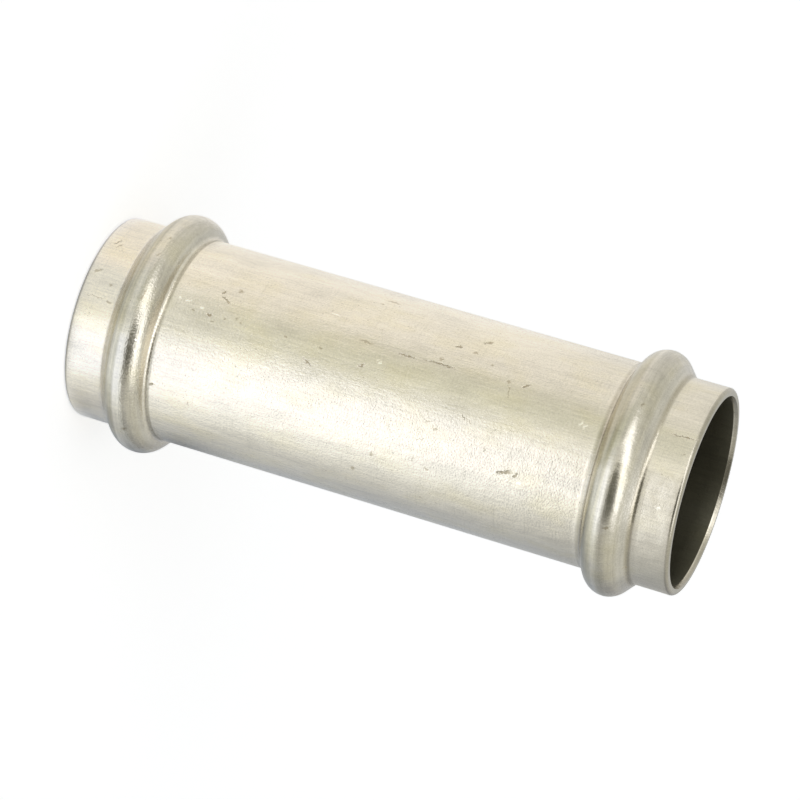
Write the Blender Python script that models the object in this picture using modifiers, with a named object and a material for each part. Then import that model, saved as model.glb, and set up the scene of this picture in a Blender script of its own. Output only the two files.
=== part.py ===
"""Press slip coupling for 28 mm stainless steel water pipe, standing on one mouth.

The body is one length of thin tube, open from end to end, with a bead rolled into it near
each mouth. The hollow of each bead holds a rubber seal ring. The bore has no stop, so the
coupling slides right over a pipe and back across the joint before its two ends are pressed.
"""

import math

import bpy

MM = 0.001

# The pipe that the coupling joins sets its bore, and the tube has one wall all along.
PIPE_DIAMETER = 28.0 * MM
PIPE_CLEARANCE = 0.2 * MM  # between the pipe and the bore, all round
WALL_THICKNESS = 1.35 * MM
COUPLING_LENGTH = 95.0 * MM
BEAD_FROM_MOUTH = 10.0 * MM  # from the mouth to the middle of the bead

# The seal ring sets the hollow of the bead that is rolled round it.
SEAL_THICKNESS = 3.0 * MM
SEAL_GRIP = 0.15 * MM  # how far the loose ring reaches inside the pipe's surface
SEAL_CLEARANCE = 0.25 * MM  # between the ring and the hollow of the bead

# The bead slopes gently down towards its mouth and drops short on the tube's side. The slopes
# are measured from the axis, and the fillets are the hollow corners outside, at their feet.
MOUTH_SIDE_SLOPE = math.radians(49.0)
TUBE_SIDE_SLOPE = math.radians(69.0)
MOUTH_SIDE_FILLET = 1.4 * MM
TUBE_SIDE_FILLET = 0.6 * MM

# The sawn mouth is deburred: rounded outside, with a short cone inside that leads the pipe in.
RIM_ROUNDING = 0.4 * MM
LEAD_IN_DEPTH = 0.25 * MM
LEAD_IN_LENGTH = 0.7 * MM

# How finely the round forms are divided.
TURN_STEPS = 60
BEAD_ARC_STEP = math.radians(18.0)
RIM_ARC_STEP = math.radians(30.0)
SEAL_SECTION_POINTS = 12
MERGE_DISTANCE = 0.0001

# Sizes that follow from those above.
TUBE_INNER_RADIUS = PIPE_DIAMETER / 2 + PIPE_CLEARANCE
TUBE_OUTER_RADIUS = TUBE_INNER_RADIUS + WALL_THICKNESS
SEAL_RADIUS = SEAL_THICKNESS / 2
SEAL_RING_RADIUS = PIPE_DIAMETER / 2 - SEAL_GRIP + SEAL_RADIUS
CROWN_RADIUS = SEAL_RADIUS + SEAL_CLEARANCE + WALL_THICKNESS
HALF_LENGTH = COUPLING_LENGTH / 2
BEAD_HEIGHT = HALF_LENGTH - BEAD_FROM_MOUTH  # above the middle of the coupling

STEEL_COLOUR = (0.78, 0.75, 0.67, 1.0)
RUBBER_COLOUR = (0.015, 0.015, 0.016, 1.0)


def remove_all_objects():
    for old in list(bpy.data.objects):
        bpy.data.objects.remove(old, do_unlink=True)


def arc(centre, radius, start, end, step):
    """Points (radius from the axis, height) on an arc, from the angle start to end."""
    count = max(1, math.ceil(abs(end - start) / step - 1e-6))
    points = []
    for index in range(count + 1):
        angle = start + (end - start) * index / count
        points.append((centre[0] + radius * math.cos(angle), centre[1] + radius * math.sin(angle)))
    return points


def bead_flank(slope, fillet):
    """Slope of one side of the bead, and the place of its fillet's centre.

    The place is the distance from the bead's middle along the tube, and the radius from the
    axis. Where the bead is too low for the slope, the fillet meets the crown with no flat between.
    """
    reach = CROWN_RADIUS + fillet
    across = TUBE_OUTER_RADIUS + fillet - SEAL_RING_RADIUS
    slope = min(slope, math.acos(across / reach))
    flat = (reach * math.cos(slope) - across) / math.sin(slope)
    along = reach * math.sin(slope) + flat * math.cos(slope)
    return slope, along, TUBE_OUTER_RADIUS + fillet


def bead_side(depth):
    """One face of the tube through the bead, upwards, at a depth of 0 outside or a wall inside.

    The fillets and the crown keep their centres at any depth, as rolled metal does, so the
    wall has one thickness all round the bead.
    """
    tube_slope, tube_along, tube_radius = bead_flank(TUBE_SIDE_SLOPE, TUBE_SIDE_FILLET)
    mouth_slope, mouth_along, mouth_radius = bead_flank(MOUTH_SIDE_SLOPE, MOUTH_SIDE_FILLET)
    tube_centre = (tube_radius, BEAD_HEIGHT - tube_along)
    crown_centre = (SEAL_RING_RADIUS, BEAD_HEIGHT)
    mouth_centre = (mouth_radius, BEAD_HEIGHT + mouth_along)

    tube_end = math.pi - tube_slope
    mouth_start = math.pi + mouth_slope
    tube_side = arc(tube_centre, TUBE_SIDE_FILLET + depth, math.pi, tube_end, BEAD_ARC_STEP)
    rise = arc(crown_centre, CROWN_RADIUS - depth, -tube_slope, 0.0, BEAD_ARC_STEP)
    fall = arc(crown_centre, CROWN_RADIUS - depth, 0.0, mouth_slope, BEAD_ARC_STEP)
    mouth_side = arc(mouth_centre, MOUTH_SIDE_FILLET + depth, mouth_start, math.pi, BEAD_ARC_STEP)
    return tube_side + rise[:-1] + fall + mouth_side


def body_half_section():
    """The wall's outline above the middle: up the bore, over the rim and down the outside."""
    bore = [(TUBE_INNER_RADIUS, 0.0)] + bead_side(WALL_THICKNESS)
    lead_in = [
        (TUBE_INNER_RADIUS, HALF_LENGTH - LEAD_IN_LENGTH),
        (TUBE_INNER_RADIUS + LEAD_IN_DEPTH, HALF_LENGTH),
    ]
    rim_centre = (TUBE_OUTER_RADIUS - RIM_ROUNDING, HALF_LENGTH - RIM_ROUNDING)
    rim = arc(rim_centre, RIM_ROUNDING, math.pi / 2, 0.0, RIM_ARC_STEP)
    outside = bead_side(0.0)[::-1] + [(TUBE_OUTER_RADIUS, 0.0)]
    return bore + lead_in + rim + outside


def seal_section():
    """The round section of a seal ring, running down its outer side."""
    turn = 2 * math.pi / SEAL_SECTION_POINTS
    return arc((SEAL_RING_RADIUS, 0.0), SEAL_RADIUS, 2 * math.pi, turn, turn)


def section_mesh(name, section, closed):
    """A mesh of the section's edges, in the plane of X and Z."""
    edges = [(index, index + 1) for index in range(len(section) - 1)]
    if closed:
        edges.append((len(section) - 1, 0))
    mesh = bpy.data.meshes.new(name)
    mesh.from_pydata([(radius, 0.0, height) for radius, height in section], edges, [])
    return mesh


def plain_material(name, colour, metallic, roughness):
    material = bpy.data.materials.new(name)
    material.use_nodes = True
    shader = material.node_tree.nodes["Principled BSDF"]
    shader.inputs["Base Color"].default_value = colour
    shader.inputs["Metallic"].default_value = metallic
    shader.inputs["Roughness"].default_value = roughness
    return material


def turned_piece(name, mesh, height, parent, collection):
    """An object that turns its mesh, a section, once round the Z axis at this height."""
    piece = bpy.data.objects.new(name, mesh)
    collection.objects.link(piece)
    piece.parent = parent
    piece.location = (0.0, 0.0, height)
    turn = piece.modifiers.new("turn", "SCREW")
    turn.axis = "Z"
    turn.angle = 2 * math.pi
    turn.steps = TURN_STEPS
    turn.render_steps = TURN_STEPS
    turn.use_merge_vertices = False
    turn.use_smooth_shade = True
    return piece


def add_body(parent, collection):
    """The steel tube: one half is turned, and the other is its mirror image."""
    mesh = section_mesh("coupling_body", body_half_section(), closed=False)
    mesh.materials.append(plain_material("stainless_steel", STEEL_COLOUR, 1.0, 0.35))
    body = turned_piece("coupling_body", mesh, HALF_LENGTH, parent, collection)
    other_half = body.modifiers.new("other_half", "MIRROR")
    other_half.use_axis = (False, False, True)
    other_half.merge_threshold = MERGE_DISTANCE


def add_seal_rings(parent, collection):
    """Two like rings, each at the height of its bead."""
    mesh = section_mesh("seal_ring", seal_section(), closed=True)
    mesh.materials.append(plain_material("seal_rubber", RUBBER_COLOUR, 0.0, 0.55))
    heights = {"lower": HALF_LENGTH - BEAD_HEIGHT, "upper": HALF_LENGTH + BEAD_HEIGHT}
    for end, height in heights.items():
        turned_piece("seal_ring_" + end, mesh, height, parent, collection)


remove_all_objects()

coupling = bpy.data.collections.new("press_slip_coupling")
bpy.context.scene.collection.children.link(coupling)

# The origin is the centre of the lower mouth, which the coupling stands on.
lower_mouth = bpy.data.objects.new("lower_mouth", None)
coupling.objects.link(lower_mouth)

add_body(lower_mouth, coupling)
add_seal_rings(lower_mouth, coupling)
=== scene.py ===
import math

import bpy
import numpy as np
from mathutils import Matrix, Vector, noise


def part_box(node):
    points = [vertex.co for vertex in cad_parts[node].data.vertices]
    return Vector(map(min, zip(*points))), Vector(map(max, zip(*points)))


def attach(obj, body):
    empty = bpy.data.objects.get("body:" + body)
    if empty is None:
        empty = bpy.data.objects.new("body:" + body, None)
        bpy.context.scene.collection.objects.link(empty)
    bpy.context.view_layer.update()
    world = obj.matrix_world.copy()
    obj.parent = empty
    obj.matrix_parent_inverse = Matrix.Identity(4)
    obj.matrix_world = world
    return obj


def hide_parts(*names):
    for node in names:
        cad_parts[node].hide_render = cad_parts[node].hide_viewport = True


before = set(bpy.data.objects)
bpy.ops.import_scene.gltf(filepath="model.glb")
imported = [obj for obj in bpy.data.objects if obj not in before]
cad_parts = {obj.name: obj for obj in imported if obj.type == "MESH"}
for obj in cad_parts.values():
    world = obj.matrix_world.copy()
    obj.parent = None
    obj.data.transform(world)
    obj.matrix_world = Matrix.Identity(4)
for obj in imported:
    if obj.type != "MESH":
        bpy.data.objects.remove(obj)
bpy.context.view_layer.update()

# The coupling body is one length of drawn stainless tube. A bead is rolled into it near each
# mouth from inside, round the seal ring, and both mouths are sawn square and deburred. It stands
# on its lower mouth, and the side that the photograph shows faces -Y.

MM = 0.001
body_low, body_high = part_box("coupling_body")
seal_low, seal_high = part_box("seal_ring_upper")

half_length = (body_high.z - body_low.z) / 2
middle = (body_high.z + body_low.z) / 2
bead_radius = body_high.x
bead_height = (seal_high.z + seal_low.z) / 2 - middle
wall = 1.35 * MM
tube_radius = 15.55 * MM
crown_radius = 3.1 * MM
crown_centre = bead_radius - crown_radius
tube_side_slope = math.radians(69.0)
mouth_side_slope = math.radians(49.0)
tube_side_fillet = 0.75 * MM
mouth_side_fillet = 0.95 * MM
rim_rounding = 0.6 * MM
lead_in_depth = 0.25 * MM
lead_in_length = 0.7 * MM

STEPS_ROUND = 280
PLAIN_SPACING = 0.9 * MM
BORE_SPACING = 2.0 * MM
BEAD_SPACING = 0.25 * MM
GROOVE_SPACING = 0.5 * MM
MOUTH_SPACING = 0.3 * MM
RIM_SPACING = 0.1 * MM
SAME_POINT = 0.001 * MM


def arc_of_wall(centre, radius, start, end, spacing):
    """Points and outward directions on an arc; a hollow corner has a radius below 0."""
    count = max(2, math.ceil(abs(end - start) * abs(radius) / spacing))
    row = []
    for index in range(count + 1):
        angle = start + (end - start) * index / count
        across, along = math.cos(angle), math.sin(angle)
        side = math.copysign(1.0, radius)
        row.append((centre[0] + abs(radius) * across, centre[1] + abs(radius) * along,
                    side * across, side * along))
    return row


def straight_of_wall(start, end, outward, spacing):
    """Points between two ends of a straight stretch, without the ends themselves."""
    length = math.dist(start, end)
    count = max(1, round(length / spacing))
    row = []
    for index in range(1, count):
        share = index / count
        row.append((start[0] + (end[0] - start[0]) * share,
                    start[1] + (end[1] - start[1]) * share, *outward))
    return row


def bead_flank(slope, fillet):
    """Distance of a fillet's centre from the bead's middle, along the tube."""
    reach = crown_radius + fillet
    across = tube_radius + fillet - crown_centre
    flat = (reach * math.cos(slope) - across) / math.sin(slope)
    return reach * math.sin(slope) + flat * math.cos(slope)


def bead_of_wall(depth, side, spacing):
    """One face of the wall over the bead, upwards. Side is 1 outside and -1 in the bore."""
    tube_centre = (tube_radius + tube_side_fillet,
                   bead_height - bead_flank(tube_side_slope, tube_side_fillet))
    mouth_centre = (tube_radius + mouth_side_fillet,
                    bead_height + bead_flank(mouth_side_slope, mouth_side_fillet))
    crown = (crown_centre, bead_height)
    foot = arc_of_wall(tube_centre, -side * (tube_side_fillet + depth),
                       math.pi, math.pi - tube_side_slope, spacing / 3)
    top = arc_of_wall(crown, side * (crown_radius - depth),
                      -tube_side_slope, mouth_side_slope, spacing)
    toe = arc_of_wall(mouth_centre, -side * (mouth_side_fillet + depth),
                      math.pi + mouth_side_slope, math.pi, spacing / 2)
    rise = straight_of_wall(foot[-1][:2], top[0][:2], foot[-1][2:], spacing)
    fall = straight_of_wall(top[-1][:2], toe[0][:2], toe[0][2:], spacing)
    return foot + rise + top + fall + toe


def half_wall_section():
    """The wall above the middle, up the bore, over the rim and down the outside."""
    bore = tube_radius - wall
    inward, outward, upward = (-1.0, 0.0), (1.0, 0.0), (0.0, 1.0)
    inside = bead_of_wall(wall, -1, GROOVE_SPACING)
    outside = bead_of_wall(0.0, 1, BEAD_SPACING)[::-1]
    cone_start = (bore, half_length - lead_in_length)
    cone_end = (bore + lead_in_depth, half_length)
    cone_length = math.dist(cone_start, cone_end)
    cone_outward = (-lead_in_length / cone_length, lead_in_depth / cone_length)
    rim_centre = (tube_radius - rim_rounding, half_length - rim_rounding)
    rim = arc_of_wall(rim_centre, rim_rounding, math.pi / 2, 0.0, RIM_SPACING)

    section = [(bore, 0.0, *inward)]
    section += straight_of_wall((bore, 0.0), inside[0][:2], inward, BORE_SPACING)
    section += inside
    section += straight_of_wall(inside[-1][:2], cone_start, inward, BORE_SPACING)
    section += [(*cone_start, *inward)]
    section += straight_of_wall(cone_start, cone_end, cone_outward, MOUTH_SPACING)
    section += [(*cone_end, *cone_outward)]
    section += straight_of_wall(cone_end, rim[0][:2], upward, MOUTH_SPACING)
    section += rim
    section += straight_of_wall(rim[-1][:2], outside[0][:2], outward, PLAIN_SPACING)
    section += outside
    section += straight_of_wall(outside[-1][:2], (tube_radius, 0.0), outward, PLAIN_SPACING)
    section += [(tube_radius, 0.0, *outward)]
    return section


def without_doubles(section):
    """The section with one point where two stretches meet."""
    kept = [section[0]]
    for point in section[1:]:
        if math.dist(point[:2], kept[-1][:2]) > SAME_POINT:
            kept.append(point)
    return kept


upper_half = without_doubles(half_wall_section())
lower_half = [(r, -h, out_r, -out_h) for r, h, out_r, out_h in upper_half[-2:0:-1]]
wall_section = np.array(upper_half + lower_half)

# The drawn tube isn't a perfect cylinder: it waves by a few hundredths of a millimetre on its
# plain stretches, with waves that are longer along the tube than round it.
WAVE_DEPTH = 0.02 * MM
WAVE_SIZE = 9.0 * MM
WAVE_SQUEEZE = 0.45
PLAIN_FACING = 0.999
PLAIN_END = 0.2 * MM
SHARP_EDGE = math.radians(35.0)


def tube_wave(place):
    """How far the outside moves at a place: always inwards."""
    stretched = Vector((place.x, place.y, place.z * WAVE_SQUEEZE)) / WAVE_SIZE
    return -WAVE_DEPTH * (1.0 + noise.noise(stretched)) / 2


def build_body_mesh():
    section_count = len(wall_section)
    points = []
    for radius, height, out_r, out_h in wall_section:
        plain = out_r > PLAIN_FACING and abs(height) < half_length - rim_rounding - PLAIN_END
        for step in range(STEPS_ROUND):
            angle = 2 * math.pi * step / STEPS_ROUND
            place = Vector((radius * math.cos(angle), radius * math.sin(angle), middle + height))
            shift = tube_wave(place) if plain else 0.0
            place += shift * Vector((out_r * math.cos(angle), out_r * math.sin(angle), out_h))
            points.append(place)
    faces = []
    for row in range(section_count):
        following = (row + 1) % section_count
        for step in range(STEPS_ROUND):
            ahead = (step + 1) % STEPS_ROUND
            faces.append((row * STEPS_ROUND + step, following * STEPS_ROUND + step,
                          following * STEPS_ROUND + ahead, row * STEPS_ROUND + ahead))
    mesh = bpy.data.meshes.new("steel_tube")
    mesh.from_pydata(points, [], faces)
    mesh.shade_smooth()
    mesh.set_sharp_from_angle(angle=SHARP_EDGE)
    return mesh


def node_with(tree, kind, settings=None, **sockets):
    """A shader node with its settings, and with values or links in its sockets."""
    node = tree.nodes.new(kind)
    for name, value in (settings or {}).items():
        setattr(node, name, value)
    for name, value in sockets.items():
        key = int(name[1:]) if name[1:].isdigit() else name.replace("_", " ")
        if isinstance(value, bpy.types.NodeSocket):
            tree.links.new(value, node.inputs[key])
        else:
            node.inputs[key].default_value = value
    return node


def by_number(tree, operation, *numbers, **settings):
    """What a sum on numbers gives."""
    sockets = {f"_{index}": number for index, number in enumerate(numbers)}
    node = node_with(tree, "ShaderNodeMath", {"operation": operation, **settings}, **sockets)
    return node.outputs[0]


def by_vector(tree, operation, *vectors):
    """What a sum on vectors or colours gives. A length and a dot product are numbers."""
    sockets = {f"_{index}": vector for index, vector in enumerate(vectors)}
    node = node_with(tree, "ShaderNodeVectorMath", {"operation": operation}, **sockets)
    return node.outputs["Value" if operation in ("LENGTH", "DOT_PRODUCT") else "Vector"]


def product(tree, first, second):
    return by_number(tree, "MULTIPLY", first, second)


def scaled(tree, vector, amount):
    node = node_with(tree, "ShaderNodeVectorMath", {"operation": "SCALE"},
                     Vector=vector, Scale=amount)
    return node.outputs["Vector"]


def parts_of(tree, vector):
    """The X, Y and Z of a vector."""
    return node_with(tree, "ShaderNodeSeparateXYZ", Vector=vector).outputs


def mixed(tree, share, first, second):
    """A colour between two, by a share from 0 to 1."""
    return node_with(tree, "ShaderNodeMix", {"data_type": "RGBA"},
                     _0=share, _6=first, _7=second).outputs[2]


def share_between(tree, value, low, high):
    """0 below low and 1 above high, with a soft step between them."""
    return node_with(tree, "ShaderNodeMapRange", {"interpolation_type": "SMOOTHSTEP"},
                     Value=value, From_Min=low, From_Max=high).outputs[0]


def finish_noise(tree, spot, size_round, size_along, detail):
    """Noise with features of a size in millimetres round the tube, and another along it."""
    stretched = by_vector(tree, "DIVIDE", spot, (size_round * MM, size_round * MM, size_along * MM))
    return node_with(tree, "ShaderNodeTexNoise", Vector=stretched,
                     Scale=1.0, Detail=detail, Roughness=0.55).outputs[0]


def layered(tree, level, layers):
    """A level with layers on it: each is a socket and how much it adds."""
    for socket, amount in layers:
        level = by_number(tree, "MULTIPLY_ADD", socket, amount, level)
    return level


# Marks of handling. Each is: degrees round the tube from the camera's side, height, length,
# width, and lean from the tube's line. Dings are deep, spots only darken, and nicks are bright.
DINGS = (
    (-31.7, 21.0, 0.7, 0.5, 90), (-27.3, 21.9, 1.9, 0.35, -33), (-16.4, 20.4, 1.0, 0.5, 0),
    (-6.6, 36.9, 1.7, 0.3, -29), (30.2, 14.3, 0.9, 0.6, 20), (-13.2, 44.8, 1.0, 0.35, 40),
    (-25.6, 50.6, 3.0, 0.3, 0), (-26.4, 55.6, 5.4, 0.3, 0), (-40.8, 57.1, 1.1, 0.5, 20),
    (-49.5, 60.7, 1.6, 0.5, 25), (-28.3, 68.7, 1.7, 0.4, 25), (-2.4, 61.7, 0.9, 0.2, -60),
    (19.9, 69.5, 2.6, 0.45, 15), (19.8, 71.2, 1.0, 0.35, 40), (-25.6, 92.8, 4.2, 0.25, 4),
    (-44.5, 2.1, 1.3, 0.3, 60),
)
SPOTS = (
    (-35.2, 23.3, 1.0, 0.7, 0), (-16.1, 17.8, 0.6, 0.4, 0), (-13.2, 21.2, 0.5, 0.4, 30),
    (-16.5, 22.9, 0.5, 0.4, 0), (-18.3, 24.5, 0.5, 0.4, 0), (-16.6, 25.4, 0.6, 0.35, 0),
    (-16.2, 38.1, 0.7, 0.45, 0), (35.3, 20.3, 0.9, 0.22, -74), (-16.4, 32.5, 0.5, 0.4, 0),
    (-56.7, 43.3, 0.6, 0.4, 0), (-62.0, 44.4, 2.6, 0.5, 0), (-26.7, 44.2, 2.0, 0.45, 0),
    (-29.6, 55.6, 0.8, 0.5, 40), (-39.2, 59.7, 0.9, 0.4, 0), (-34.4, 62.8, 0.5, 0.4, 0),
    (-27.5, 66.1, 0.6, 0.5, 0), (-22.0, 66.6, 2.2, 0.22, -70), (5.3, 56.9, 1.3, 0.22, 15),
    (8.1, 58.1, 0.9, 0.24, 15), (15.6, 56.1, 1.6, 0.2, 10), (11.6, 65.8, 0.9, 0.25, -72),
    (32.2, 49.4, 0.8, 0.7, 0), (27.9, 55.7, 0.8, 0.25, 60), (31.1, 57.9, 0.8, 0.5, 0),
    (44.9, 46.8, 0.6, 0.5, 40), (28.5, 86.1, 0.9, 0.3, 0), (-16.2, 93.6, 0.6, 0.35, 0),
    (57.6, 88.9, 0.8, 0.5, 0), (-1.6, 62.2, 0.9, 0.18, -60), (-0.7, 62.8, 0.8, 0.18, -55),
    (-30.9, 86.1, 0.8, 0.4, 70), (-42.0, 2.7, 1.3, 0.3, 60),
    (-23.0, 1.7, 1.5, 0.35, 30), (-8.4, 2.8, 3.4, 0.2, 0), (-16.8, 4.4, 0.7, 0.6, 0),
    (-7.3, 5.1, 0.7, 0.5, 0), (-13.8, 10.8, 2.2, 0.4, 80), (-35.7, 10.2, 0.7, 0.5, 50),
    (-47.2, 10.3, 0.7, 0.5, 50), (56.7, 11.0, 1.0, 0.6, 30),
)
NICKS = (
    (-18.8, 19.0, 0.8, 0.4, 0), (-20.7, 16.5, 1.3, 0.35, 15), (-21.0, 15.2, 0.8, 0.3, 0),
    (-17.4, 47.3, 0.9, 0.35, 60), (-19.0, 46.9, 0.7, 0.3, 60), (-16.2, 78.2, 0.9, 0.4, 60),
    (-15.4, 78.9, 0.8, 0.35, 60), (14.3, 92.2, 0.8, 0.8, 0), (23.4, 71.9, 1.0, 0.4, 30),
    (12.0, 11.8, 0.5, 0.4, 30), (7.0, 11.6, 0.4, 0.3, 0), (-37.9, 38.0, 1.9, 0.25, -10),
)
MARK_EDGE = (1.25, 0.4)
MARK_RAGGEDNESS = 1.0 * MM
RAGGED_SIZE = 0.5 * MM


def marks_on_tube(tree, place, marks):
    """1 in the middle of each mark and 0 away from them all."""
    covered = None
    for degrees, height, length, width, lean in marks:
        own = node_with(tree, "ShaderNodeMapping", {"vector_type": "TEXTURE"}, Vector=place,
                        Location=(math.radians(degrees) * tube_radius, height * MM, 0.0),
                        Rotation=(0.0, 0.0, math.radians(lean)),
                        Scale=(width * MM / 2, length * MM / 2, 1.0))
        here = share_between(tree, by_vector(tree, "LENGTH", own.outputs[0]), *MARK_EDGE)
        covered = by_number(tree, "MAXIMUM", covered, here) if covered else here
    return covered


def place_on_tube(tree, spot):
    """Length round the tube and height. The back has the front's marks upside down."""
    split = parts_of(tree, spot)
    front = product(tree, split["Y"], -1.0)
    angle = by_number(tree, "ARCTAN2", split["X"], front)
    side = by_number(tree, "WRAP", angle, math.pi / 2, -math.pi / 2)
    behind = by_number(tree, "LESS_THAN", front, 0.0)
    upside_down = by_number(tree, "SUBTRACT", 2 * middle, split["Z"])
    height = node_with(tree, "ShaderNodeMix", {"data_type": "FLOAT"},
                       _0=behind, _2=split["Z"], _3=upside_down).outputs[0]
    flat = node_with(tree, "ShaderNodeCombineXYZ", X=product(tree, side, tube_radius), Y=height)
    ragged = node_with(tree, "ShaderNodeTexNoise", Vector=spot,
                       Scale=1 / RAGGED_SIZE, Detail=3.0).outputs["Color"]
    ragged = by_vector(tree, "SUBTRACT", ragged, (0.5, 0.5, 0.5))
    return by_vector(tree, "MULTIPLY_ADD", ragged, (MARK_RAGGEDNESS, MARK_RAGGEDNESS, 0.0),
                     flat.outputs[0])


CLEAN_STEEL = (0.745, 0.685, 0.555, 1.0)
BEAD_STEEL = (0.59, 0.55, 0.45, 1.0)
# Painted shade: the bore's steel is painted nearly black for the dark inside of the tube.
BORE_PAINTED_SHADE = (0.100, 0.093, 0.060, 1.0)
NICK_STEEL = (1.0, 0.94, 0.80, 1.0)
# Painted shade: the bead's colour is darkened where its faces look down.
UNDERSIDE_PAINTED_SHADE = (0.77, 0.76, 0.69, 1.0)
RIM_TINT = (0.58, 0.58, 0.57, 1.0)
FOOT_TINT = (0.98, 0.99, 1.03, 1.0)
# Painted shade for the hollow corners beside the beads.
CREASE_PAINTED_SHADE = (0.56, 0.55, 0.51, 1.0)
STAIN_TINT = (0.93, 0.92, 0.86, 1.0)
MARK_TINT = (0.60, 0.56, 0.48, 1.0)
NO_TINT = (1.0, 1.0, 1.0, 1.0)
MICRON = 0.001 * MM

# Where each of the body's places starts and where it is full. The bead, its feet and the bore are
# told by radius, the rim and the guide by height, and the bead's underside, which gets painted
# shade, by the way that it faces.
ON_BEAD = (tube_radius + 0.1 * MM, tube_radius + 0.8 * MM)
IN_BORE = (tube_radius - wall + 0.05 * MM, tube_radius - wall + 0.02 * MM)
FOOT_FROM_TUBE = (tube_radius + 0.03 * MM, tube_radius + 0.3 * MM)
FOOT_FROM_BEAD = (tube_radius + 1.8 * MM, tube_radius + 1.0 * MM)
ON_RIM = (half_length - 0.65 * MM, half_length - 0.3 * MM)
PAST_BEAD = (3.5 * MM, 4.5 * MM)
LOWER_PART = (middle + 25.0 * MM, middle - 25.0 * MM)
FACING_DOWN = (-0.15, -0.34)

# Painted shade darkens the hollow corners beside the beads: the height of each, and how far
# it reaches.
CREASES = ((3.7 * MM - bead_height, 0.45 * MM), (bead_height - 3.55 * MM, 0.65 * MM),
           (bead_height + 3.95 * MM, 0.60 * MM))
CREASE_CORE = 0.1 * MM

# Sizes of the finish in millimetres, round the tube and along it, and their detail.
DRAWN_LINES = (0.24, 4.0, 2.0)
LONG_STREAKS = (1.5, 24.0, 2.0)
ROUGH_SKIN = (0.23, 0.28, 2.0)
SHALLOW_DENTS = (1.9, 2.6, 1.0)
WIDE_CLOUDS = (9.0, 17.0, 3.0)
PATCHES = (4.0, 8.0, 4.0)
TURNED_LINES = (7.0, 0.17, 1.0)
FINE_SPECKS = (0.45, 0.5, 1.0)
ROLLED_LINES = (10.0, 0.4, 3.0)

# The levels of that noise between which hairlines, specks, stains and the creases' painted
# shade show.
HAIRLINES_SHOW = (0.60, 0.74)
SPECKS_SHOW = (0.68, 0.77)
SPECKS_GATHER = (0.42, 0.62)
STAINS_SHOW = (0.44, 0.72)
CREASE_SHADE_SHOWS = (0.35, 1.0)


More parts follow.
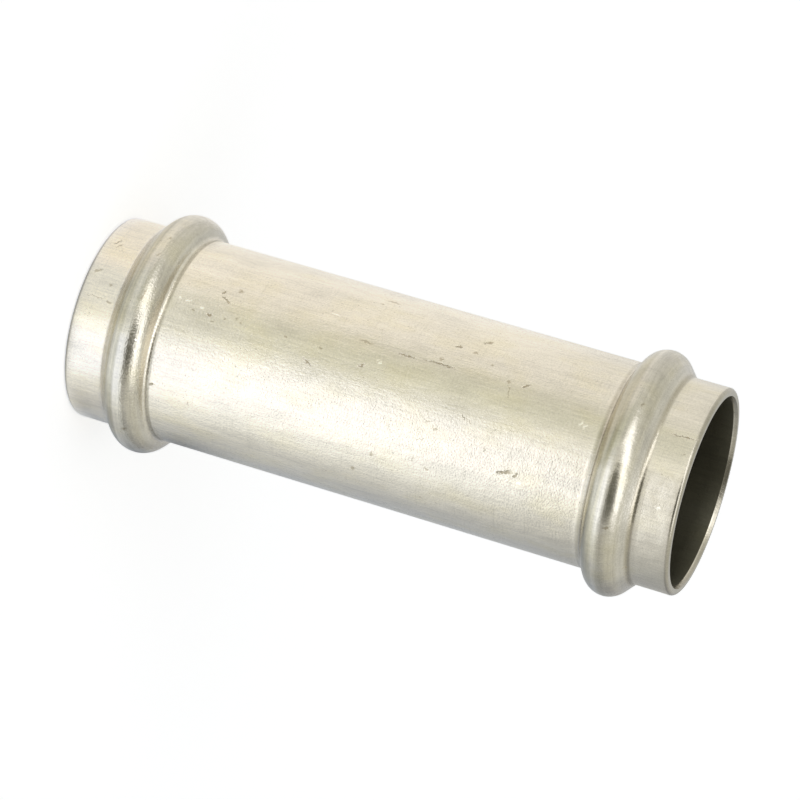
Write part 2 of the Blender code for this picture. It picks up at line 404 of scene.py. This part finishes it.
def steel_material():
    steel = bpy.data.materials.new("drawn_stainless")
    steel.use_nodes = True
    tree = steel.node_tree
    shader = tree.nodes["Principled BSDF"]
    spot = node_with(tree, "ShaderNodeTexCoord").outputs["Object"]
    radius = by_vector(tree, "LENGTH", by_vector(tree, "MULTIPLY", spot, (1.0, 1.0, 0.0)))
    on_bead = share_between(tree, radius, *ON_BEAD)
    in_bore = share_between(tree, radius, *IN_BORE)
    above = parts_of(tree, spot)["Z"]
    from_middle = by_number(tree, "ABSOLUTE", by_number(tree, "SUBTRACT", above, middle))
    on_rim = share_between(tree, from_middle, *ON_RIM)
    facing = parts_of(tree, node_with(tree, "ShaderNodeNewGeometry").outputs["Normal"])["Z"]
    feet = product(tree, share_between(tree, radius, *FOOT_FROM_TUBE),
                   share_between(tree, radius, *FOOT_FROM_BEAD))
    # Painted shade: the bead is painted darker where its faces look down, as if less light fell
    # there.
    painted_underside_shade = product(tree, on_bead, share_between(tree, facing, *FACING_DOWN))
    past_bead = layered(tree, -bead_height, ((from_middle, 1.0),))
    creases = 0.0
    for height, reach in CREASES:
        off_crease = by_number(tree, "ABSOLUTE", layered(tree, -middle - height, ((above, 1.0),)))
        in_crease = share_between(tree, off_crease, reach, CREASE_CORE)
        creases = layered(tree, creases, ((in_crease, 1.0),))

    drawn = finish_noise(tree, spot, *DRAWN_LINES)
    streaks = finish_noise(tree, spot, *LONG_STREAKS)
    skin = finish_noise(tree, spot, *ROUGH_SKIN)
    dents = finish_noise(tree, spot, *SHALLOW_DENTS)
    clouds = finish_noise(tree, spot, *WIDE_CLOUDS)
    patches = finish_noise(tree, spot, *PATCHES)
    hairlines = share_between(tree, finish_noise(tree, spot, *TURNED_LINES), *HAIRLINES_SHOW)
    specks = share_between(tree, finish_noise(tree, spot, *FINE_SPECKS), *SPECKS_SHOW)
    specks = product(tree, specks, share_between(tree, patches, *SPECKS_GATHER))
    stained = share_between(tree, patches, *STAINS_SHOW)
    # The creases get painted shade, broken into patches by the skin and the clouds.
    painted_crease_shade = layered(tree, -0.08, ((skin, 0.7), (clouds, 1.1)))
    painted_crease_shade = product(tree, creases, share_between(tree, painted_crease_shade, *CREASE_SHADE_SHOWS))
    rolled = product(tree, finish_noise(tree, spot, *ROLLED_LINES), on_bead)

    # The marks are only outside, not in the bore.
    place = place_on_tube(tree, spot)
    outside = layered(tree, 1.0, ((in_bore, -1.0),))
    dings = product(tree, marks_on_tube(tree, place, DINGS), outside)
    spots = product(tree, marks_on_tube(tree, place, SPOTS), outside)
    nicks = product(tree, marks_on_tube(tree, place, NICKS), outside)

    tone = layered(tree, 0.265, (
        (drawn, 0.30), (streaks, 0.20), (clouds, 0.30), (patches, 0.34), (skin, 0.34),
        (rolled, 0.50), (on_bead, -0.25), (hairlines, -0.06), (specks, -0.17)))
    colour = mixed(tree, on_bead, CLEAN_STEEL, BEAD_STEEL)
    # The bore gets painted shade: near-black steel, on top of its rougher, less metallic finish.
    colour = mixed(tree, in_bore, colour, BORE_PAINTED_SHADE)
    colour = mixed(tree, nicks, colour, NICK_STEEL)
    marked = by_number(tree, "MAXIMUM", dings, product(tree, spots, 0.8))
    # The underside tint and the crease tint in this list are painted shade.
    tint = NO_TINT
    for share, own_tint in ((stained, STAIN_TINT), (painted_underside_shade, UNDERSIDE_PAINTED_SHADE), (feet, FOOT_TINT),
                            (on_rim, RIM_TINT), (painted_crease_shade, CREASE_PAINTED_SHADE), (marked, MARK_TINT)):
        tint = mixed(tree, share, tint, own_tint)
    colour = scaled(tree, by_vector(tree, "MULTIPLY", colour, tint), tone)
    tree.links.new(colour, shader.inputs["Base Color"])

    rough = layered(tree, 0.195, (
        (drawn, 0.05), (clouds, 0.05), (stained, 0.02), (in_bore, 0.25),
        (dings, 0.12), (specks, 0.1)))
    tree.links.new(rough, shader.inputs["Roughness"])
    metal = layered(tree, 1.0, ((in_bore, -0.3),))
    tree.links.new(metal, shader.inputs["Metallic"])

    # The rolls and the turned ends have smoothed the tube's skin, and its upper part is finer.
    on_guide = share_between(tree, past_bead, *PAST_BEAD)
    formed = by_number(tree, "MAXIMUM", on_bead, on_guide)
    lower_part = share_between(tree, above, *LOWER_PART)
    raw_skin = layered(tree, 0.62, ((lower_part, 0.48), (formed, -0.45)))
    relief = layered(tree, 0.0, (
        (drawn, 14.0 * MICRON), (streaks, 30.0 * MICRON),
        (product(tree, skin, raw_skin), 62.0 * MICRON), (dents, 50.0 * MICRON),
        (hairlines, -2.0 * MICRON), (rolled, 8.0 * MICRON), (specks, -6.0 * MICRON),
        (dings, -80.0 * MICRON)))
    bump = node_with(tree, "ShaderNodeBump", Height=relief, Strength=1.0, Distance=1.0)
    tree.links.new(bump.outputs["Normal"], shader.inputs["Normal"])
    return steel


body = bpy.data.objects.new("steel_tube", build_body_mesh())
bpy.context.scene.collection.objects.link(body)
body.data.materials.append(steel_material())
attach(body, "root")
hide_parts("coupling_body")

# Each seal ring is a moulded ring of black rubber, round in section, with a fine seam inside and
# outside where the two halves of its mould met. It is pushed into the hollow of its bead through
# the mouth and stays there by its own spring.

RING_STEPS_ROUND = 180
RING_STEPS_SECTION = 36
SEAM_HEIGHT = 0.035 * MM
SEAM_HALF_WIDTH = math.radians(3.0)


def ring_section(thickness):
    """Points of a ring's section about its middle: across and along, with a seam at each side."""
    angles = {2 * math.pi * step / RING_STEPS_SECTION for step in range(RING_STEPS_SECTION)}
    for seam in (0.0, math.pi):
        for share in (-1.0, -0.5, 0.5, 1.0):
            angles.add((seam + share * SEAM_HALF_WIDTH) % (2 * math.pi))
    section = []
    for angle in sorted(angles):
        off_seam = abs((angle + math.pi / 2) % math.pi - math.pi / 2) / SEAM_HALF_WIDTH
        radius = thickness / 2 - SEAM_HEIGHT * min(1.0, off_seam ** 2)
        section.append((radius * math.cos(angle), radius * math.sin(angle)))
    return section


def build_ring_mesh(name, low, high):
    section = ring_section(high.z - low.z)
    ring_radius = high.x - (high.z - low.z) / 2
    height = (low.z + high.z) / 2
    points = []
    for step in range(RING_STEPS_ROUND):
        angle = 2 * math.pi * step / RING_STEPS_ROUND
        for across, along in section:
            radius = ring_radius + across
            points.append((radius * math.cos(angle), radius * math.sin(angle), height + along))
    count = len(section)
    faces = []
    for step in range(RING_STEPS_ROUND):
        ahead = (step + 1) % RING_STEPS_ROUND
        for corner in range(count):
            following = (corner + 1) % count
            faces.append((step * count + corner, ahead * count + corner,
                          ahead * count + following, step * count + following))
    mesh = bpy.data.meshes.new(name)
    mesh.from_pydata(points, [], faces)
    mesh.shade_smooth()
    return mesh


BLACK_RUBBER = (0.012, 0.012, 0.013, 1.0)
GREY_BLOOM = (0.030, 0.030, 0.029, 1.0)
BLOOM_PATCHES = (2.5, 1.2, 3.0)
BLOOM_SHOWS = (0.42, 0.70)
RUBBER_GRAIN = (0.12, 0.12, 2.0)
MOULD_FLOW = (3.0, 0.3, 2.0)


def rubber_material():
    rubber = bpy.data.materials.new("seal_rubber")
    rubber.use_nodes = True
    tree = rubber.node_tree
    shader = tree.nodes["Principled BSDF"]
    spot = node_with(tree, "ShaderNodeTexCoord").outputs["Object"]
    bloom = share_between(tree, finish_noise(tree, spot, *BLOOM_PATCHES), *BLOOM_SHOWS)
    grain = finish_noise(tree, spot, *RUBBER_GRAIN)
    flow = finish_noise(tree, spot, *MOULD_FLOW)
    tree.links.new(mixed(tree, bloom, BLACK_RUBBER, GREY_BLOOM), shader.inputs["Base Color"])
    rough = layered(tree, 0.34, ((bloom, 0.16), (grain, 0.10)))
    tree.links.new(rough, shader.inputs["Roughness"])
    relief = layered(tree, 0.0, ((grain, 6.0 * MICRON), (flow, 10.0 * MICRON)))
    bump = node_with(tree, "ShaderNodeBump", Height=relief, Strength=1.0, Distance=1.0)
    tree.links.new(bump.outputs["Normal"], shader.inputs["Normal"])
    return rubber


seal_finish = rubber_material()
for end in ("lower", "upper"):
    name = "rubber_seal_" + end
    ring = bpy.data.objects.new(name, build_ring_mesh(name, *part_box("seal_ring_" + end)))
    bpy.context.scene.collection.objects.link(ring)
    ring.data.materials.append(seal_finish)
    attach(ring, "root")
    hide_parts("seal_ring_" + end)

# The coupling stands on a plain white table in a soft studio light: a big daylight panel in
# front, warm white walls to one side and behind, and a dimmer room on the other side. The table
# shows white to the camera and keeps the coupling's shadow, and the metal mirrors its light.

TABLE_SIZE = 6.0
TABLE_GAP = 0.02 * MM
TABLE_PAINT = 0.8
ROOM_LIGHT = 0.5
BRIGHTEST = 2.5

# Light round the coupling by direction: degrees from the camera's side towards +X, and colour.
# The first list is for the table near the coupling, the second for the far table and the walls.
LIGHT_ROUND = (
    (-180, (0.80, 0.81, 0.84)),
    (-150, (1.13, 1.12, 1.13)),
    (-66, (1.16, 1.14, 1.15)),
    (-48, (0.76, 0.76, 0.68)),
    (-30, (0.88, 0.91, 0.80)),
    (-16, (0.99, 1.01, 0.96)),
    (-5, (1.18, 1.23, 1.30)),
    (7, (1.78, 1.86, 2.10)),
    (50, (1.82, 1.92, 2.16)),
    (66, (1.38, 1.45, 1.56)),
    (90, (0.97, 1.01, 1.07)),
    (106, (0.75, 0.78, 0.84)),
    (122, (0.60, 0.64, 0.73)),
    (150, (0.50, 0.54, 0.63)),
    (180, (0.80, 0.81, 0.84)),
)
FAR_LIGHT_ROUND = (
    (-180, (0.70, 0.71, 0.72)),
    (-150, (0.89, 0.89, 0.90)),
    (-66, (0.91, 0.92, 0.92)),
    (-48, (0.84, 0.86, 0.80)),
    (-16, (1.03, 1.04, 1.03)),
    (16, (0.95, 0.96, 0.96)),
    (50, (0.68, 0.69, 0.71)),
    (72, (0.62, 0.63, 0.65)),
    (96, (0.56, 0.58, 0.61)),
    (122, (0.43, 0.45, 0.48)),
    (150, (0.40, 0.41, 0.44)),
    (180, (0.70, 0.71, 0.72)),
)

# The light on the table changes with the distance from the coupling's axis. Each pair is where a
# change starts and where it is full, and the colours are the light or the shade that it brings.
CONTACT_POOL = (15.0 * MM, 20.0 * MM)
CONTACT_SHADE = (0.86, 0.91, 1.02, 1.0)
CONTACT_LIGHT = (1.16, 1.19, 1.34, 1.0)
WEAK_POOL = (60.0 * MM, 150.0 * MM)
WEAK_LIGHT = (1.43, 1.53, 1.80, 1.0)
LEAST_POOL = (90.0 * MM, 50.0 * MM)
LEAST_LIGHT = (1.05, 1.09, 1.14, 1.0)
CLOSE_TURN = math.radians(10.0)
SIDE_POOL = (45.0 * MM, 25.0 * MM)
SIDE_SHADE = (0.80, 0.80, 0.82, 1.0)
BACK_POOL_START = (42.0 * MM, 52.0 * MM)
BACK_POOL_END = (81.0 * MM, 57.0 * MM)
BACK_SHADE = (0.46, 0.46, 0.47, 1.0)
FAR_POOL = (285.0 * MM, 455.0 * MM)
NO_LIGHT = (0.0, 0.0, 0.0, 1.0)


def light_by_direction(tree, direction, levels, swing=None, close=None):
    """The colour of the light that comes from a side of the room, from its list of levels."""
    split = parts_of(tree, direction)
    angle = by_number(tree, "ARCTAN2", split["X"], product(tree, split["Y"], -1.0))
    if swing:
        swung = product(tree, by_number(tree, "SINE", angle), swing)
        ahead = by_number(tree, "COSINE", angle, use_clamp=True)
        turned = product(tree, ahead, close)
        angle = layered(tree, angle, ((swung, 1.0), (turned, -CLOSE_TURN)))
    turn = node_with(tree, "ShaderNodeMapRange", {"clamp": False}, Value=angle,
                     From_Min=-math.pi, From_Max=math.pi)
    ramp = node_with(tree, "ShaderNodeValToRGB", Fac=turn.outputs[0])
    stops = ramp.color_ramp.elements
    while len(stops) < len(levels):
        stops.new(0.5)
    for stop, (degrees, colour) in zip(stops, levels):
        stop.position = (degrees + 180) / 360
        stop.color = (*[channel / BRIGHTEST for channel in colour], 1.0)
    return scaled(tree, ramp.outputs["Color"], BRIGHTEST)


def table_light(tree, spot):
    """The light on each spot of the table that the metal mirrors."""
    distance = by_vector(tree, "LENGTH", spot)
    far = share_between(tree, distance, *FAR_POOL)
    strong = share_between(tree, distance, *WEAK_POOL)
    weak = layered(tree, 1.0, ((strong, -1.0),))
    # Close to the tube, its wall mirrors a spot further round than the light comes from. In front
    # the light there also lies a little further towards +X.
    near = by_number(tree, "DIVIDE", tube_radius, distance)
    swing = by_number(tree, "DIVIDE", near, by_number(tree, "SUBTRACT", 2.0, near))
    light = mixed(tree, far, light_by_direction(tree, spot, LIGHT_ROUND, swing, weak),
                  light_by_direction(tree, spot, FAR_LIGHT_ROUND))
    most = mixed(tree, strong, WEAK_LIGHT, (BRIGHTEST, BRIGHTEST, BRIGHTEST, 1.0))
    light = by_vector(tree, "MINIMUM", light, most)
    floor_place = parts_of(tree, spot)
    front_left = product(tree, share_between(tree, floor_place["X"], 2.0 * MM, -3.0 * MM),
                         share_between(tree, floor_place["Y"], 0.0, -10.0 * MM))
    front_left = product(tree, front_left, share_between(tree, distance, *LEAST_POOL))
    light = by_vector(tree, "MAXIMUM", light, mixed(tree, front_left, NO_LIGHT, LEAST_LIGHT))

    # Round its foot the coupling shades the table, but for the side where the bright walls are.
    side = parts_of(tree, by_vector(tree, "NORMALIZE", spot))
    dim_side = product(tree, share_between(tree, side["X"], 0.60, 0.85),
                       share_between(tree, side["Y"], 0.15, -0.25))
    dim_side = product(tree, dim_side, share_between(tree, distance, *SIDE_POOL))
    light = by_vector(tree, "MULTIPLY", light, mixed(tree, dim_side, NO_TINT, SIDE_SHADE))
    behind = product(tree, share_between(tree, side["X"], 0.30, 0.60),
                     share_between(tree, side["Y"], 0.20, 0.60))
    behind = product(tree, behind, share_between(tree, distance, *BACK_POOL_START))
    behind = product(tree, behind, share_between(tree, distance, *BACK_POOL_END))
    light = by_vector(tree, "MULTIPLY", light, mixed(tree, behind, NO_TINT, BACK_SHADE))
    lit_side = share_between(tree, side["X"], -0.25, -0.80)
    contact = mixed(tree, lit_side, CONTACT_SHADE, CONTACT_LIGHT)
    return mixed(tree, share_between(tree, distance, *CONTACT_POOL), contact, light)


def table_material():
    white = bpy.data.materials.new("white_table")
    white.use_nodes = True
    tree = white.node_tree
    tree.nodes.clear()
    paths = node_with(tree, "ShaderNodeLightPath").outputs
    light = table_light(tree, node_with(tree, "ShaderNodeNewGeometry").outputs["Position"])
    # The paint already sends back part of this light, so the glow only adds what is missing.
    sent_back = TABLE_PAINT * ROOM_LIGHT
    missing = by_vector(tree, "SUBTRACT", light, (sent_back, sent_back, sent_back))
    mirrored = by_number(tree, "MAXIMUM", paths["Is Glossy Ray"], paths["Is Transmission Ray"])
    to_camera = product(tree, paths["Is Camera Ray"], 1.0 - sent_back)
    glow = by_vector(tree, "ADD", scaled(tree, missing, mirrored), to_camera)
    paint = node_with(tree, "ShaderNodeBsdfDiffuse",
                      Color=(TABLE_PAINT, TABLE_PAINT, TABLE_PAINT, 1.0))
    glowing = node_with(tree, "ShaderNodeEmission", Color=glow, Strength=1.0)
    both = node_with(tree, "ShaderNodeAddShader", _0=paint.outputs[0], _1=glowing.outputs[0])
    node_with(tree, "ShaderNodeOutputMaterial", Surface=both.outputs[0])
    return white


bpy.ops.mesh.primitive_plane_add(size=TABLE_SIZE, location=(0.0, 0.0, body_low.z - TABLE_GAP))
table = bpy.context.object
table.name = "studio_table"
table.data.materials.append(table_material())

CEILING = (0.82, 0.83, 0.80, 1.0)
OVERHEAD = (0.1, 0.6)
WHITE = (1.0, 1.0, 1.0, 1.0)
PANEL_FACING = (-0.61, 0.62, 0.495)
PANEL_MIDDLE = (-0.06, -0.65, 0.76)
PANEL_SIDES = (0.34, 0.16)
PANEL_ENDS = (0.60, 0.80)
PANEL_LIGHT = (2.35, 2.4, 2.55, 1.0)
DARK_MIDDLE = (0.40, -0.86, 0.32)
DARK_EDGE = (0.84, 0.95)
DARK_LIGHT = (0.18, 0.18, 0.16, 1.0)


def room_world():
    room = bpy.data.worlds.new("studio_room")
    room.use_nodes = True
    tree = room.node_tree
    tree.nodes.clear()
    paths = node_with(tree, "ShaderNodeLightPath").outputs
    direction = node_with(tree, "ShaderNodeTexCoord").outputs["Generated"]
    overhead = share_between(tree, parts_of(tree, direction)["Z"], *OVERHEAD)
    walls = mixed(tree, overhead, light_by_direction(tree, direction, FAR_LIGHT_ROUND), CEILING)
    # The diffuser is a long panel that leans over the camera from one side to overhead.
    off_panel = by_number(tree, "ABSOLUTE", by_vector(tree, "DOT_PRODUCT", direction, PANEL_FACING))
    along_panel = by_vector(tree, "DOT_PRODUCT", direction, PANEL_MIDDLE)
    on_panel = product(tree, share_between(tree, off_panel, *PANEL_SIDES),
                       share_between(tree, along_panel, *PANEL_ENDS))
    walls = mixed(tree, on_panel, walls, PANEL_LIGHT)
    # Behind the camera the room is dark.
    dark_side = by_vector(tree, "DOT_PRODUCT", direction, DARK_MIDDLE)
    walls = mixed(tree, share_between(tree, dark_side, *DARK_EDGE), walls, DARK_LIGHT)
    seen = mixed(tree, paths["Is Camera Ray"], walls, WHITE)
    mirrored = by_number(tree, "MAXIMUM", paths["Is Glossy Ray"], paths["Is Transmission Ray"])
    direct = by_number(tree, "MAXIMUM", mirrored, paths["Is Camera Ray"])
    strength = node_with(tree, "ShaderNodeMapRange", Value=direct, To_Min=ROOM_LIGHT, To_Max=1.0)
    air = node_with(tree, "ShaderNodeBackground", Color=seen, Strength=strength.outputs[0])
    node_with(tree, "ShaderNodeOutputWorld", Surface=air.outputs[0])
    return room


scene = bpy.context.scene
scene.world = room_world()

# The camera stands where the photograph was taken from: a little above the tube's middle,
# and turned on its side, so that the upper mouth lies to the right.

CAMERA_TILT = math.radians(16.19)
PICTURE_ROLL = math.radians(16.5)
CAMERA_DISTANCE = 33.42 * tube_radius
CAMERA_LENS = 158.7
AIM_RIGHT = -0.0015 * tube_radius
AIM_DOWN = 0.0233 * tube_radius

forward = Vector((0.0, math.cos(CAMERA_TILT), -math.sin(CAMERA_TILT)))
level = Vector((1.0, 0.0, 0.0))
fall_line = forward.cross(level)
turn = math.atan2(-math.cos(PICTURE_ROLL), -math.sin(PICTURE_ROLL))
right = math.cos(turn) * level + math.sin(turn) * fall_line
down = -math.sin(turn) * level + math.cos(turn) * fall_line
centre = Vector((0.0, 0.0, middle))
place = centre - AIM_RIGHT * right - AIM_DOWN * down - CAMERA_DISTANCE * forward

camera_data = bpy.data.cameras.new("camera")
camera_data.lens = CAMERA_LENS
camera_data.sensor_width = 36.0
camera_data.clip_start = 0.01
camera = bpy.data.objects.new("camera", camera_data)
scene.collection.objects.link(camera)
axes = Matrix((right, -down, -forward)).transposed()
camera.matrix_world = Matrix.Translation(place) @ axes.to_4x4()
scene.camera = camera

scene.view_settings.view_transform = "Standard"
